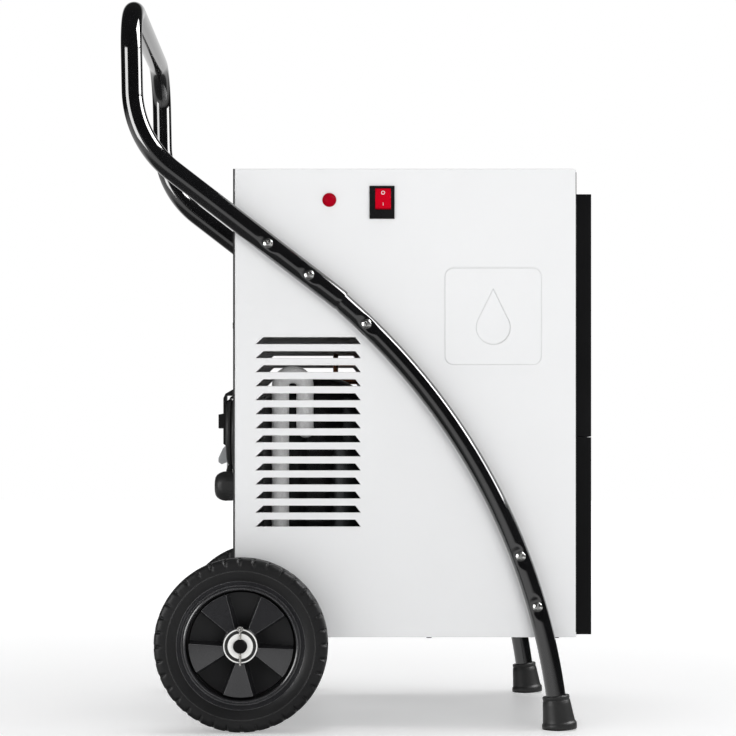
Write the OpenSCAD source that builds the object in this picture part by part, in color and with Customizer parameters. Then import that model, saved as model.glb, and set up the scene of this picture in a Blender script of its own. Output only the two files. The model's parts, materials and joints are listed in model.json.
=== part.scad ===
// Commercial condenser dehumidifier trolley, built as an assembly of named sub-parts.
// +X points to the machine's front (air grille and tank), +Z is up, -Y is the switch side.
// All sizes are in millimetres. The origin is on the floor under the middle of the bounding box.

/* [Housing] */
// Width of the sheet-metal housing, side to side
body_w = 380; // [340:5:420]
// Height of the housing's top face above the floor
body_top = 652; // [620:1:700]
// Height of the housing's lower edge above the floor
body_low = 105.5; // [100:0.5:120]
// Thickness of the sheet metal
sheet = 1.5; // [1:0.1:2.5]
// Number of louvre slots in each side panel
louvres = 14; // [6:1:16]
// Distance from one louvre slot to the next
louvre_pitch = 16.38; // [14:0.02:18]
// Opening height of one louvre slot
louvre_gap = 8; // [5:0.5:10]
// How far the black front panels stand out from the housing
front_depth = 19; // [12:1:24]
// Gap between the air grille and the tank's front below it
front_gap = 0.8; // [0.5:0.1:3]

/* [Frame] */
// Outer diameter of the handle tube
handle_d = 25; // [22:0.5:30]
// Outer diameter of the leg tubes
leg_d = 23; // [20:0.5:28]
// Height of the top of the handle's crossbar
handle_top = 855; // [820:1:900]
// Bend radius of the handle's two upper corners
handle_corner = 55; // [40:1:80]
// Radius of the long curve of the leg tubes
leg_radius = 736; // [600:2:900]

/* [Running gear] */
// Outer radius of the wheels
wheel_r = 100; // [80:1:120]
// Width of the tyres
tyre_w = 44; // [30:1:55]
// Radius of the axle
axle_r = 8; // [6:0.5:10]
// Distance from the middle plane to each wheel's middle
wheel_y = 224; // [215:1:240]

/* [Tank] */
// Length of the water tank, back to front
tank_l = 190; // [150:2:192]
// Width of the water tank
tank_w = 320; // [260:2:324]
// Height of the water tank
tank_h = 186; // [140:2:190]
// Wall thickness of the water tank
tank_wall = 3; // [2:0.2:4]

/* [Cord] */
// Diameter of the mains cord
cord_d = 7; // [6:0.1:8]
// Length of the straight runs of the wound cord
hank_run = 110; // [100:2:140]

/* [Hidden] */
$fn = 64;
// half of the housing's width, and the x of its rear and front faces
hw = body_w / 2;
xr = -142.5;
xf = 256;
// heights of the screws that hold the rear panel, and how far they sit in from its corners
rear_screw_z = [170, 300, 470, 610];
rear_screw_y = hw - 10;
// middle of each side tube, and the radii of handle, leg and the leg's spigot
tube_y = hw + 13.5;
hr = handle_d / 2;
lr = leg_d / 2;
spigot_r = 11;
// centre of the leg's long curve, in x and z, and its start and sweep in degrees
arc_c = [-498.3, -62];
arc_start = 5.78;
arc_sweep = 43.4;
foot_x = 235.5;
// axle, its split pins and the bolts of its brackets
axle_x = -133;
pin_y = 252.6;
bracket_bolt_x = [-98, -78];
bracket_bolt_y = 168;
// wound cord: height, inner and outer half height, and the screws of its hooks
hank_z = 347;
hank_in = 17.5;
hank_out = 45.5;
hook_screw_y = hank_run / 2 + 8;
// the cord's first run: its gland's y and its x behind the origin
lead_y = 40;
lead_x = -150.5;
// middle of the parked plug in y and z, and the distance of its pins from there
plug_at = [-42, 281];
plug_pin = 9.5;
// drain nipple in the rear panel, in y and z
drain_at = [-100, 142];
// fan and its motor
fan_z = 480;
// compressor: middle in x and y, shell radius and the offset of its four mounts
comp = [-50, -20];
comp_r = 65;
comp_mount = 58;
// coils: lowest pass, distance between passes, and x of the evaporator and the condenser
coil_z = 366;
pass = 34;
evaporator_x = 205;
condenser_x = 148;
// side plane, and radii, of the copper pipes
pipe_y = 176;
pipe_r = 3.2;
capillary_r = 1.6;
// floor of the tank, and the float's place in x and y
tank_z = 117;
float_at = [135, 85];
// drain of the drip tray through the tank's lid, in x
tray_x = 224;
// joint of handle and leg, lower bend and upper corner of the handle, in its side plane
h_end = [-17.5, 496.6];
h_mid = [-259.3, 682.8];
h_top = [-262.5, handle_top - hr];
// places of the fixing screws along the tubes: two on the handle, three on each leg
upper_screws = [[-102.7, 562.2], [-55.3, 525.7]];
leg_screw_angles = [46.2, 20.9, 16.1];
function on_leg(a) = [arc_c[0] + leg_radius * cos(a), arc_c[1] + leg_radius * sin(a)];
function unit(v) = v / norm(v);
function corner_cut(a, b, c, r) = r * tan(acos(unit(b - a) * unit(c - b)) / 2);
function aim(z) =
    let (h = abs(z[1]) < 0.9 ? [0, 1, 0] : [1, 0, 0], x = unit(cross(h, z)))
    [x, cross(z, x), z];
function basis(x, y, z, o) =
    [[x[0], y[0], z[0], o[0]], [x[1], y[1], z[1], o[1]], [x[2], y[2], z[2], o[2]], [0, 0, 0, 1]];
function on3(p, y) = [p[0], y, p[1]];

// ---------------------------------------------------------------- helpers
module box(a, b) {
    translate(a) cube(b - a);
}

module along_y(x, y0, y1, z, r) {
    translate([x, y0, z]) rotate([-90, 0, 0]) cylinder(r = r, h = y1 - y0);
}

module along_x(x0, x1, y, z, r) {
    translate([x0, y, z]) rotate([0, 90, 0]) cylinder(r = r, h = x1 - x0);
}

module along_z(x, y, z0, z1, r) {
    translate([x, y, z0]) cylinder(r = r, h = z1 - z0);
}

module rod(p, q, r) {
    m = aim(unit(q - p));
    multmatrix(basis(m[0], m[1], m[2], p)) cylinder(r = r, h = norm(q - p));
}

module elbow(a, b, c, bend, r) {
    u = unit(b - a);
    v = unit(c - b);
    m = unit(v - (u * v) * u);
    o = b - u * bend * tan(acos(u * v) / 2) + m * bend;
    multmatrix(basis(-m, u, cross(u, m), o))
        rotate_extrude(angle = acos(u * v), $fn = 96) translate([bend, 0]) circle(r = r);
}

// a bent rod: straight runs and elbows meet inside short collars that are a hair thicker
module bent_rod(pts, bends, r, collar = 0.5) {
    last = len(pts) - 1;
    for (i = [0 : last - 1]) {
        d = unit(pts[i + 1] - pts[i]);
        s = i == 0 ? 0 : corner_cut(pts[i - 1], pts[i], pts[i + 1], bends[i]);
        e = i == last - 1 ? 0 : corner_cut(pts[i], pts[i + 1], pts[i + 2], bends[i + 1]);
        rod(pts[i] + d * s, pts[i + 1] - d * e, r);
        if (i > 0) rod(pts[i] + d * (s - collar), pts[i] + d * (s + collar), r + 0.05);
        if (i < last - 1)
            rod(pts[i + 1] - d * (e + collar), pts[i + 1] - d * (e - collar), r + 0.05);
    }
    for (i = [1 : last - 1]) elbow(pts[i - 1], pts[i], pts[i + 1], bends[i], r);
}

module rounded2d(w, h, r) {
    square([w - 2 * r, h], center = true);
    square([w, h - 2 * r], center = true);
    for (sx = [-1, 1]) for (sy = [-1, 1])
        translate([sx * (w / 2 - r), sy * (h / 2 - r)]) circle(r = r);
}

// places a child drawn in the X-Z plane, extruded from y0 towards +Y by t
module plate_y(y0, t) {
    translate([0, y0 + t, 0]) rotate([90, 0, 0]) linear_extrude(t) children();
}

// ---------------------------------------------------------------- housing
function tube_points() = concat(upper_screws, [for (a = leg_screw_angles) on_leg(a)]);

module louvre_slot(i) {
    z = 234.7 + i * louvre_pitch;
    polygon([[-117.7, z], [4.5, z], [-1.7, z + louvre_gap], [-108.9, z + louvre_gap]]);
}

module side_outline() {
    polygon([[xr, body_low + 6], [-118, body_low + 6], [-114, body_low], [xf, body_low],
        [xf, body_top - 4], [xf - 4, body_top], [xr, body_top]]);
    translate([xf - 4, body_top - 4]) circle(r = 4);
}

module emboss2d(grow) {
    translate([159.15, 479.8]) rounded2d(112.3 + grow, 112.6 + grow, 10 + grow / 2);
}

module drop2d() {
    translate([0, -9]) circle(r = 20);
    polygon([[-17.6, 0.5], [17.6, 0.5], [0, 36]]);
}

// s is -1 for the switch side and +1 for the other side
module side_panel(s) {
    y0 = s < 0 ? -hw : hw - sheet;
    difference() {
        union() {
            plate_y(y0, sheet) difference() {
                side_outline();
                for (i = [0 : louvres - 1]) louvre_slot(i);
                if (s < 0) translate([29.5, 613]) square([25, 34], center = true);
                if (s < 0) translate([-32, 615.7]) circle(r = 5);
                emboss2d(-3);
            }
            plate_y(s < 0 ? y0 - 1.5 : y0 + 1.2, sheet + 0.3) emboss2d(0);
            for (p = upper_screws) along_y(p[0], min(s * hw, s * (hw + 2)),
                max(s * hw, s * (hw + 2)), p[1], 6.5);
            for (a = leg_screw_angles) along_y(on_leg(a)[0], min(s * hw, s * (hw + 3)),
                max(s * hw, s * (hw + 3)), on_leg(a)[1], 6.5);
            box([xr, s < 0 ? y0 + sheet : hw - 18, 130],
                [xr + sheet, s < 0 ? -hw + 18 : y0, 640]);
        }
        plate_y(s < 0 ? y0 - 2 : hw + 0.3, 1.7) translate([159.15, 476]) drop2d();
        for (p = tube_points()) along_y(p[0], s * hw - 6, s * hw + 6, p[1], 3.05);
        for (z = rear_screw_z) along_x(xr - 1, xr + 3, s * rear_screw_y, z, 1.85);
    }
}

module side_panel_right() {
    color([0.93, 0.94, 0.95]) side_panel(-1);
}

module side_panel_left() {
    color([0.93, 0.94, 0.95]) side_panel(1);
}

module top_cover() {
    color([0.93, 0.94, 0.95]) plate_y(-hw + sheet, body_w - 2 * sheet) {
        translate([xr, body_top - sheet]) square([xf - 4 - xr, sheet]);
        translate([xf - sheet, 628]) square([sheet, body_top - 4 - 628]);
        translate([xf - 4, body_top - 4]) difference() {
            circle(r = 4);
            circle(r = 4 - sheet);
            translate([-10, -20]) square([10, 40]);
            translate([-20, -10]) square([40, 10]);
        }
    }
}

module rear_panel() {
    color([0.9, 0.91, 0.92]) difference() {
        box([xr - sheet, -hw, body_low + 6], [xr, hw, body_top]);
        for (s = [-1, 1]) for (z = rear_screw_z) along_x(xr - 3, xr + 1, s * rear_screw_y, z, 1.85);
        along_x(xr - 3, xr + 1, lead_y, 244, 5.05);
        along_x(xr - 3, xr + 1, drain_at[0], drain_at[1], 5.05);
        for (s = [-1, 1]) along_x(xr - 3, xr + 1, s * hook_screw_y, hank_z, 2.6);
        for (s = [-1, 1]) along_x(xr - 3, xr + 1, plug_at[0] + s * plug_pin, plug_at[1], 2.7);
    }
}

module base_tray() {
    color([0.75, 0.76, 0.78]) difference() {
        box([xr, -hw + sheet, 115], [xf - sheet, hw - sheet, 129]);
        box([xr + sheet, -hw + 2 * sheet, 116.5], [xf, hw - 2 * sheet, 140]);
        for (dx = [-comp_mount, comp_mount]) for (dy = [-comp_mount, comp_mount])
            along_z(comp[0] + dx, comp[1] + dy, 110, 120, 4.1);
        for (s = [-1, 1]) for (x = bracket_bolt_x) along_z(x, s * bracket_bolt_y, 110, 120, 3.1);
        along_x(xr - 1, xr + 4, drain_at[0], drain_at[1], 5.05);
    }
}

module partition() {
    color([0.75, 0.76, 0.78]) difference() {
        union() {
            box([50, -hw + 2 * sheet, 116.5], [51.5, hw - 2 * sheet, 335.5]);
            box([50, -hw + 2 * sheet, 334], [xf - sheet, hw - 2 * sheet, 335.5]);
        }
        along_z(tray_x, 0, 330, 340, 8.1);
        along_x(45, 55, 120, 290, 6.1);
    }
}

module front_frame() {
    color([0.75, 0.76, 0.78]) difference() {
        box([xf - sheet, -hw + sheet, 116.5], [xf, hw - sheet, 628]);
        box([xf - 3, -160, 352], [xf + 1, 160, 612]);
        box([xf - 3, -166, 110], [xf + 1, 166, 331]);
    }
}

module base_bumpers() {
    color([0.1, 0.1, 0.1]) for (x = [86, 237]) for (s = [-1, 1])
        translate([x, s * 150, 101.5]) {
            cylinder(r1 = 3, r2 = 4, h = 2);
            translate([0, 0, 2]) cylinder(r = 4, h = 11.5);
        }
}

module housing_screws() {
    head = 1.1;
    color([0.75, 0.76, 0.78]) for (s = [-1, 1]) for (z = rear_screw_z) difference() {
        union() {
            along_x(xr - sheet - head, xr - sheet, s * rear_screw_y, z, 3.6);
            along_x(xr - sheet, xr + 8, s * rear_screw_y, z, 1.8);
        }
        for (slot = [[2.2, 0.4], [0.4, 2.2]]) box([xr - 5, s * rear_screw_y - slot[0], z - slot[1]],
            [xr - sheet - head / 2, s * rear_screw_y + slot[0], z + slot[1]]);
    }
    color([0.75, 0.76, 0.78]) for (s = [-1, 1]) {
        along_x(-161.9, -160, s * hook_screw_y, hank_z, 5);
        along_x(-160, -136, s * hook_screw_y, hank_z, 2.55);
    }
}

// ---------------------------------------------------------------- front
module front_grille() {
    color([0.07, 0.07, 0.08]) difference() {
        box([xf, -178, 340], [xf + front_depth, 178, 624]);
        box([xf - 1, -170, 346], [xf + 9, 170, 630]);
        for (i = [0 : 15]) box([xf + 5, -160, 362 + i * 15], [xf + 30, -3, 371 + i * 15]);
        for (i = [0 : 15]) box([xf + 5, 3, 362 + i * 15], [xf + 30, 160, 371 + i * 15]);
    }
}

module filter_frame() {
    color([0.25, 0.26, 0.28]) difference() {
        box([xf + 1, -168, 346.1], [xf + 7, 168, 622]);
        for (i = [0 : 3]) for (k = [0 : 2])
            box([xf, -158 + i * 80, 357 + k * 86], [xf + 8, -82 + i * 80, 439 + k * 86]);
    }
}

module filter_mesh() {
    color([0.2, 0.2, 0.2]) for (i = [0 : 3]) for (k = [0 : 2])
        box([xf + 3, -158 + i * 80, 357 + k * 86], [xf + 5, -82 + i * 80, 439 + k * 86]);
}

module tank_front() {
    color([0.07, 0.07, 0.08]) difference() {
        union() {
            difference() {
                box([xf + 0.6, -178, 108], [xf + front_depth, 178, 340 - front_gap]);
                box([xf - 1, -174, 112], [xf + front_depth - 4, 174, 334]);
            }
            box([252, -90, 140], [xf + front_depth - 2, 90, 150]);
            box([252, -90, 280], [xf + front_depth - 2, 90, 316]);
            box([252, -20, 140], [xf + front_depth - 2, 20, 290]);
        }
        box([xf + 6, -60, 286], [xf + 30, 60, 312]);
        box([xf + front_depth - 3, -14, 150], [xf + 30, 14, 262]);
    }
}

module water_tank() {
    color([0.82, 0.84, 0.85]) difference() {
        box([252 - tank_l, -tank_w / 2, tank_z], [252, tank_w / 2, tank_z + tank_h]);
        box([252 - tank_l + tank_wall, -tank_w / 2 + tank_wall, tank_z + tank_wall],
            [252 - tank_wall, tank_w / 2 - tank_wall, 400]);
    }
}

module tank_lid() {
    z0 = tank_z + tank_h;
    color([0.82, 0.84, 0.85]) difference() {
        union() {
            box([252 - tank_l, -tank_w / 2, z0], [252, tank_w / 2, z0 + 4]);
            for (s = [-1, 1]) box([80, s * 55 - 7, z0 + 3], [92, s * 55 + 7, z0 + 14]);
            box([80, -62, z0 + 9], [92, 62, z0 + 14]);
        }
        along_z(tray_x, 0, 300, 320, 14);
        along_z(float_at[0], float_at[1], 300, 320, 3.6);
    }
}

// hangs from the lid by its top disc and lifts against the level switch when the tank is full
module float_body() {
    color([0.95, 0.5, 0.1]) {
        along_z(float_at[0], float_at[1], 245, 285, 18);
        along_z(float_at[0], float_at[1], 280, 315, 3);
        along_z(float_at[0], float_at[1], 307.1, 310, 8);
    }
}

module level_switch() {
    color([0.1, 0.1, 0.1]) difference() {
        union() {
            box([125, 79, 323], [145, 91, 334]);
            box([130, 83, 321.5], [140, 87, 323]);
        }
        along_y(135, 70, 100, 329, 1.6);
    }
}

// ---------------------------------------------------------------- cooling circuit
module drip_tray() {
    color([0.3, 0.31, 0.33]) {
        difference() {
            box([196, -166, 335.5], [252, 166, 347]);
            box([198, -164, 337.5], [250, 164, 350]);
            along_z(tray_x, 0, 330, 340, 6);
        }
        difference() {
            along_z(tray_x, 0, 324, 337.5, 8);
            along_z(tray_x, 0, 320, 340, 6);
        }
    }
}

module coil_fins(x0, z0) {
    for (i = [0 : 20]) translate([0, -139.5 + i * 13.9, 0]) difference() {
        box([x0, 0, i % 20 == 0 ? z0 : 351], [x0 + 38, 1, 616]);
        for (k = [0 : 7]) along_y(x0 + 19, -2, 3, coil_z + pass * k, 4.85);
    }
}

module coil_tubes(x0, low_r, top_r) {
    difference() {
        union() {
            for (k = [0 : 7])
                along_y(x0 + 19, -146, k == 0 || k == 7 ? 156 : 146, coil_z + pass * k, 4.8);
            for (k = [0 : 6])
                translate([x0 + 19, k % 2 == 0 ? -145.7 : 145.7, coil_z + pass * (k + 0.5)])
                    rotate([0, -90, 0]) rotate([0, 0, k % 2 == 0 ? 180 : 0]) turn_back();
        }
        along_y(x0 + 19, 147, 160, coil_z, low_r);
        along_y(x0 + 19, 147, 160, coil_z + 7 * pass, top_r);
    }
}

// half a ring that joins two passes of a coil
module turn_back() {
    rotate_extrude(angle = 180) translate([pass / 2, 0]) circle(r = 4.82);
}

module evaporator_fins() {
    color([0.8, 0.82, 0.84]) coil_fins(evaporator_x, 337.5);
}

module evaporator_tubes() {
    color([0.72, 0.43, 0.25]) coil_tubes(evaporator_x, 1.65, 3.25);
}

module condenser_fins() {
    color([0.8, 0.82, 0.84]) coil_fins(condenser_x, 335.5);
}

module condenser_tubes() {
    color([0.72, 0.43, 0.25]) coil_tubes(condenser_x, 3.25, 3.25);
}

module fan_shroud() {
    color([0.75, 0.76, 0.78]) {
        difference() {
            box([134, -158, 335.5], [136, 158, 628]);
            along_x(130, 140, 0, fan_z, 118);
            for (a = [45 : 90 : 315])
                along_x(130, 140, 129 * cos(a), fan_z + 129 * sin(a), 2.1);
        }
        difference() {
            along_x(100, 136, 0, fan_z, 120);
            along_x(90, 140, 0, fan_z, 118);
        }
    }
}

module fan_blade() {
    color([0.12, 0.12, 0.13]) difference() {
        union() {
            along_x(101, 127, 0, fan_z, 28);
            intersection() {
                along_x(98, 132, 0, fan_z, 113);
                for (i = [0 : 4]) translate([114, 0, fan_z]) rotate([72 * i, 0, 0])
                    rotate([0, 0, 28]) box([-1.2, -34, 20], [1.2, 34, 120]);
            }
        }
        along_x(90, 140, 0, fan_z, 4.05);
        along_x(90, 106, 0, fan_z, 20);
    }
}

module fan_motor() {
    color([0.4, 0.41, 0.43]) {
        along_x(30, 86, 0, fan_z, 42);
        along_x(86, 92, 0, fan_z, 14);
        along_x(92, 124, 0, fan_z, 4);
    }
}

module motor_bracket() {
    color([0.3, 0.31, 0.33]) {
        difference() {
            along_x(56, 62, 0, fan_z, 50);
            along_x(50, 70, 0, fan_z, 42);
        }
        for (a = [45 : 90 : 315]) translate([0, 0, fan_z]) rotate([a, 0, 0]) difference() {
            union() {
                box([56, 46, -7], [62, 138, 7]);
                box([56, 132, -7], [133.95, 138, 7]);
                box([131, 122, -7], [133.95, 138, 7]);
            }
            along_x(128, 140, 129, 0, 2.1);
        }
    }
}

module compressor_shell() {
    color([0.06, 0.06, 0.07]) {
        difference() {
            translate([comp[0], comp[1], 0]) intersection() {
                translate([0, 0, 150]) cylinder(r = comp_r, h = 280);
                union() {
                    translate([0, 0, 335]) sphere(r = 85);
                    translate([0, 0, 100]) cylinder(r = comp_r + 5, h = 235);
                }
            }
            along_z(-25, 5, 400, 430, 3.25);
            along_z(comp[0], comp[1], 140, 330, 57);
        }
        difference() {
            along_z(comp[0], comp[1], 300, 306, 67);
            along_z(comp[0], comp[1], 290, 310, 60);
        }
        difference() {
            along_z(-25, 5, 398, 420, 6);
            along_z(-25, 5, 402, 430, 3.25);
        }
        difference() {
            box([comp[0] - 68, comp[1] - 68, 146], [comp[0] + 68, comp[1] + 68, 150]);
            for (dx = [-comp_mount, comp_mount]) for (dy = [-comp_mount, comp_mount])
                along_z(comp[0] + dx, comp[1] + dy, 140, 155, 4.1);
            along_z(comp[0], comp[1], 140, 330, 57);
        }
    }
}

module compressor_grommets() {
    color([0.1, 0.1, 0.1]) for (dx = [-comp_mount, comp_mount]) for (dy = [-comp_mount, comp_mount])
        translate([comp[0] + dx, comp[1] + dy, 116.5]) difference() {
            union() {
                cylinder(r = 10, h = 29.5);
                cylinder(r = 13, h = 8);
            }
            translate([0, 0, -1]) cylinder(r = 4.1, h = 40);
        }
}

module base_bolts() {
    color([0.75, 0.76, 0.78]) {
        for (dx = [-comp_mount, comp_mount]) for (dy = [-comp_mount, comp_mount])
            translate([comp[0] + dx, comp[1] + dy, 0]) {
                translate([0, 0, 110]) cylinder(r = 7.5, h = 5, $fn = 6);
                translate([0, 0, 115]) cylinder(r = 4, h = 42);
                translate([0, 0, 150]) cylinder(r = 7.5, h = 5, $fn = 6);
            }
        for (s = [-1, 1]) for (x = bracket_bolt_x) translate([x, s * bracket_bolt_y, 0]) {
            translate([0, 0, 107]) cylinder(r = 5.5, h = 4, $fn = 6);
            translate([0, 0, 111]) cylinder(r = 3, h = 14);
            translate([0, 0, 116.5]) cylinder(r = 5.5, h = 5, $fn = 6);
        }
    }
}

module terminal_cover() {
    color([0.12, 0.12, 0.13]) difference() {
        box([0, -46, 220], [40, 6, 285]);
        along_z(comp[0], comp[1], 200, 300, comp_r + 0.02);
    }
}

module accumulator() {
    color([0.06, 0.06, 0.07]) {
        difference() {
            union() {
                along_z(-50, 88, 200, 320, 22);
                along_z(-50, 88, 190, 330, 14);
                along_z(-50, 88, 185, 342, 6);
                box([-58, 40, 250], [-42, 75, 262]);
            }
            along_z(-50, 88, 328, 350, 3.25);
            along_z(comp[0], comp[1], 200, 300, comp_r + 0.02);
        }
    }
}

module filter_drier() {
    color([0.72, 0.43, 0.25]) difference() {
        union() {
            along_z(20, pipe_y, 206, 286, 9);
            along_z(20, pipe_y, 198, 294, 5);
        }
        along_z(20, pipe_y, 284, 300, 3.25);
        along_z(20, pipe_y, 190, 208, 1.65);
    }
}

// hot gas line, the suction line in two lengths, and liquid line
module refrigerant_pipes() {
    top = coil_z + 7 * pass;
    hot = condenser_x + 19;
    cold = evaporator_x + 19;
    color([0.72, 0.43, 0.25]) {
        bent_rod([[-25, 5, 404], [-25, 5, 445], [-25, pipe_y, 445], [hot, pipe_y, 445],
            [hot, pipe_y, top], [hot, 148, top]], [0, 14, 14, 14, 12, 0], pipe_r);
        bent_rod([[-50, 88, 329], [-50, 88, 420], [-50, pipe_y, 420], [cold, pipe_y, 420],
            [cold, pipe_y, top], [cold, 148, top]], [0, 14, 14, 14, 12, 0], pipe_r);
        bent_rod([[-50, 88, 184.95], [-50, 88, 131], [-90, 88, 131], [-90, -155, 131],
            [-90, -155, 413.5], [-61, -155, 413.5], [-61, -155, 350], [-61, -84.7, 350]],
            [0, 14, 14, 14, 13, 13, 14, 0], pipe_r);
        bent_rod([[hot, 148, coil_z], [hot, pipe_y, coil_z], [20, pipe_y, coil_z],
            [20, pipe_y, 285]], [0, 12, 14, 0], pipe_r);
    }
}

module capillary_tube() {
    cold = evaporator_x + 19;
    color([0.72, 0.43, 0.25]) bent_rod([[20, pipe_y, 207], [20, pipe_y, 180], [-5, pipe_y, 180],
        [-5, pipe_y, 392], [cold, pipe_y, 392], [cold, pipe_y, coil_z], [cold, 148, coil_z]],
        [0, 8, 8, 8, 8, 8, 0], capillary_r);
}

// ---------------------------------------------------------------- electrics
module run_capacitor() {
    color([0.85, 0.86, 0.88]) {
        along_x(xr, -65, 120, 520, 20);
        along_x(-65, -61, 120, 520, 18);
        for (s = [-1, 1]) box([-61, 120 + s * 8 - 3, 519], [-53, 120 + s * 8 + 3, 521]);
    }
}

module control_box() {
    color([0.16, 0.17, 0.19]) {
        difference() {
            box([xr, -110, 545], [-70, 10, 640]);
            box([-138, -106, 549], [-73, 6, 636]);
            for (i = [0 : 6]) box([-76, -98 + i * 15, 560], [-60, -94 + i * 15, 620]);
        }
    }
}

module switch_bezel() {
    color([0.06, 0.06, 0.07]) difference() {
        union() {
            box([14.9, -hw - 2, 593.5], [44.1, -hw, 631.9]);
            box([17, -hw, 596], [42, -hw + 26, 630]);
        }
        box([21.3, -hw - 5, 604.2], [40.1, -hw + 20, 629.6]);
        along_x(19, 42, -hw + 1, 616.9, 1.55);
    }
}

// rocks about the X axis through [y = -hw + 1, z = 616.9]
module switch_rocker() {
    color([0.8, 0.05, 0.05]) {
        intersection() {
            along_x(21.6, 39.8, -hw + 1, 616.9, 12.2);
            translate([21.6, -hw + 1, 616.9]) rotate([90, 0, 90]) linear_extrude(18.2)
                polygon([[6, 13], [-1.6, 13], [-3.2, 0], [-6.6, -13], [6, -13]]);
        }
        along_x(19.2, 41.8, -hw + 1, 616.9, 1.5);
    }
}

module indicator_lamp() {
    color([0.85, 0.08, 0.06]) {
        intersection() {
            along_y(-32, -hw - 6, -hw, 615.7, 7.25);
            translate([-32, -hw + 3.2, 615.7]) sphere(r = 8.4);
        }
        along_y(-32, -hw - 1.5, -hw, 615.7, 7.25);
        along_y(-32, -hw, -hw + 14, 615.7, 4.95);
    }
}

// ---------------------------------------------------------------- tube frame
module tube_holes(pts, seat) {
    for (p = pts) for (s = [-1, 1]) {
        along_y(p[0], s * tube_y - 30, s * tube_y + 30, p[1], 3.05);
        along_y(p[0], min(s * (tube_y + 30), s * (tube_y + seat)),
            max(s * (tube_y + 30), s * (tube_y + seat)), p[1], 7);
    }
}

module handle_tube() {
    color([0.05, 0.05, 0.05]) difference() {
        union() {
            difference() {
                bent_rod([on3(h_end, -tube_y), on3(h_mid, -tube_y), on3(h_top, -tube_y),
                    on3(h_top, tube_y), on3(h_mid, tube_y), on3(h_end, tube_y)],
                    [0, 122, handle_corner, handle_corner, 122, 0], hr);
                for (s = [-1, 1]) rod(on3(h_end + unit(h_end - h_mid) * 2, s * tube_y),
                    on3(h_end + unit(h_mid - h_end) * 180, s * tube_y), spigot_r + 0.05);
            }
            for (s = [-1, 1]) along_y(upper_screws[0][0], s * tube_y - hr + 0.6,
                s * tube_y + hr - 0.6, upper_screws[0][1], 6);
        }
        tube_holes(upper_screws, 11);
        for (s = [-1, 1]) for (p = upper_screws)
            along_y(p[0], min(s * (tube_y - 20), s * (tube_y - 11.5)),
                max(s * (tube_y - 20), s * (tube_y - 11.5)), p[1], 6.6);
    }
}

module leg_tube(s) {
    top = h_end + unit(h_mid - h_end) * 72;
    color([0.05, 0.05, 0.05]) difference() {
        union() {
            rod(on3(h_end + unit(h_end - h_mid) * 3, s * tube_y), on3(top, s * tube_y), spigot_r);
            translate([arc_c[0], s * tube_y, arc_c[1]]) rotate([90, 0, 0]) rotate([0, 0, arc_start])
                rotate_extrude(angle = arc_sweep, $fn = 360) translate([leg_radius, 0]) circle(r = lr);
        }
        for (a = leg_screw_angles) {
            along_y(on_leg(a)[0], s * tube_y - 30, s * tube_y + 30, on_leg(a)[1], 3.05);
            along_y(on_leg(a)[0], min(s * (tube_y + 9.5), s * (tube_y + 30)),
                max(s * (tube_y + 9.5), s * (tube_y + 30)), on_leg(a)[1], 7);
            along_y(on_leg(a)[0], min(s * (tube_y - 30), s * (tube_y - 10.5)),
                max(s * (tube_y - 30), s * (tube_y - 10.5)), on_leg(a)[1], 6.6);
        }
        for (p = upper_screws) along_y(p[0], s * tube_y - 30, s * tube_y + 30, p[1], 3.05);
    }
}

module leg_tube_right() {
    leg_tube(-1);
}

module leg_tube_left() {
    leg_tube(1);
}

module foot(s) {
    difference() {
        translate([foot_x, s * tube_y, 0]) rotate([0, -7, 0]) translate([0, 0, -6]) {
            cylinder(r1 = 20.6, r2 = 15.4, h = 43.5);
            translate([0, 0, 43.5]) cylinder(r = 15.4, h = 1.5);
        }
        box([150, s * tube_y - 60, -40], [320, s * tube_y + 60, 0]);
        translate([arc_c[0], s * tube_y, arc_c[1]]) rotate([90, 0, 0]) rotate([0, 0, arc_start])
            rotate_extrude(angle = 10, $fn = 360) translate([leg_radius, 0]) circle(r = lr + 0.03);
    }
}

module feet() {
    color([0.06, 0.06, 0.06]) for (s = [-1, 1]) foot(s);
}

// pan-head screw along Y: s is the side, seat the distance of the head's seat from the middle
module pan_screw(p, s, seat) {
    translate([p[0], s * seat, p[1]]) rotate([s < 0 ? 90 : -90, 0, 0]) difference() {
        union() {
            intersection() {
                cylinder(r = 5.6, h = 3.4);
                translate([0, 0, -4.8]) sphere(r = 8.2);
            }
            translate([0, 0, -(seat - hw + 9)]) cylinder(r = 2.95, h = seat - hw + 9.1);
        }
        translate([0, 0, 3]) cube([1.3, 6.4, 3.4], center = true);
        translate([0, 0, 3]) cube([6.4, 1.3, 3.4], center = true);
    }
}

module tube_screws() {
    color([0.78, 0.78, 0.76]) for (s = [-1, 1]) {
        for (p = upper_screws) pan_screw(p, s, tube_y + 11);
        for (a = leg_screw_angles) pan_screw(on_leg(a), s, tube_y + 9.5);
        for (p = tube_points()) difference() {
            translate([p[0], s * (hw - sheet), p[1]]) rotate([s < 0 ? -90 : 90, 0, 0])
                cylinder(r = 5.8, h = 5, $fn = 6);
            along_y(p[0], s * hw - 12, s * hw + 12, p[1], 3);
        }
    }
}

// ---------------------------------------------------------------- running gear
module wheel_place(s) {
    translate([axle_x, s * wheel_y, wheel_r]) rotate([s < 0 ? 90 : -90, 0, 0]) children();
}

module axle() {
    color([0.55, 0.56, 0.57]) difference() {
        union() {
            along_y(axle_x, -255.5, 255.5, wheel_r, axle_r);
            for (s = [-1, 1]) wheel_place(s) translate([0, 0, 31.4])
                cylinder(r1 = axle_r, r2 = axle_r - 1.2, h = 1.4);
        }
        for (s = [-1, 1]) along_z(axle_x, s * pin_y, wheel_r - 12, wheel_r + 12, 1.45);
    }
}

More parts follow.
